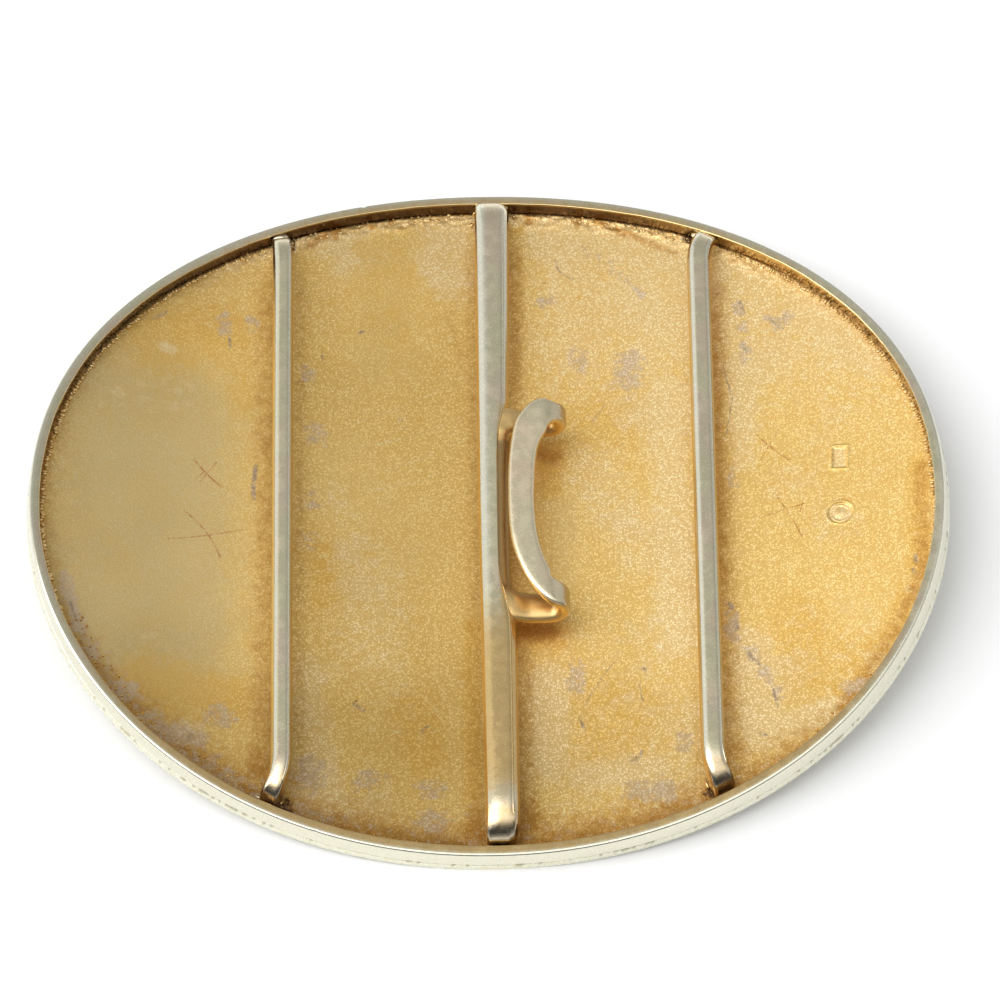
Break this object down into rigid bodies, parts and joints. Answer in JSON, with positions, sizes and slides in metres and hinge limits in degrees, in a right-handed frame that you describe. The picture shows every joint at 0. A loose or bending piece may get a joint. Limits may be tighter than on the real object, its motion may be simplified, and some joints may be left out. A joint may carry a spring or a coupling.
{
  "type": "belt buckle",
  "caption": "Oval silver-gilt belt buckle seen from the back: bent plate, raised rim, strap bars across it and a sheet hook beside the centre bar.",
  "frame": {"origin": "centre of the bounding box's base, on the line where the convex front rests", "axes": "+X along the oval towards the hook's side, +Y across the belt along the bars, +Z out of the back"},
  "size_m": [0.08, 0.0664, 0.0073],
  "materials": {
    "pale_gilt": "satin, worn gilding over silver",
    "matte_gilt": "fine matte gilding with tarnish"
  },
  "bodies": {
    "root": {"frame": "pale_gilt", "face_plate": "matte_gilt"}
  },
  "joints": []
}
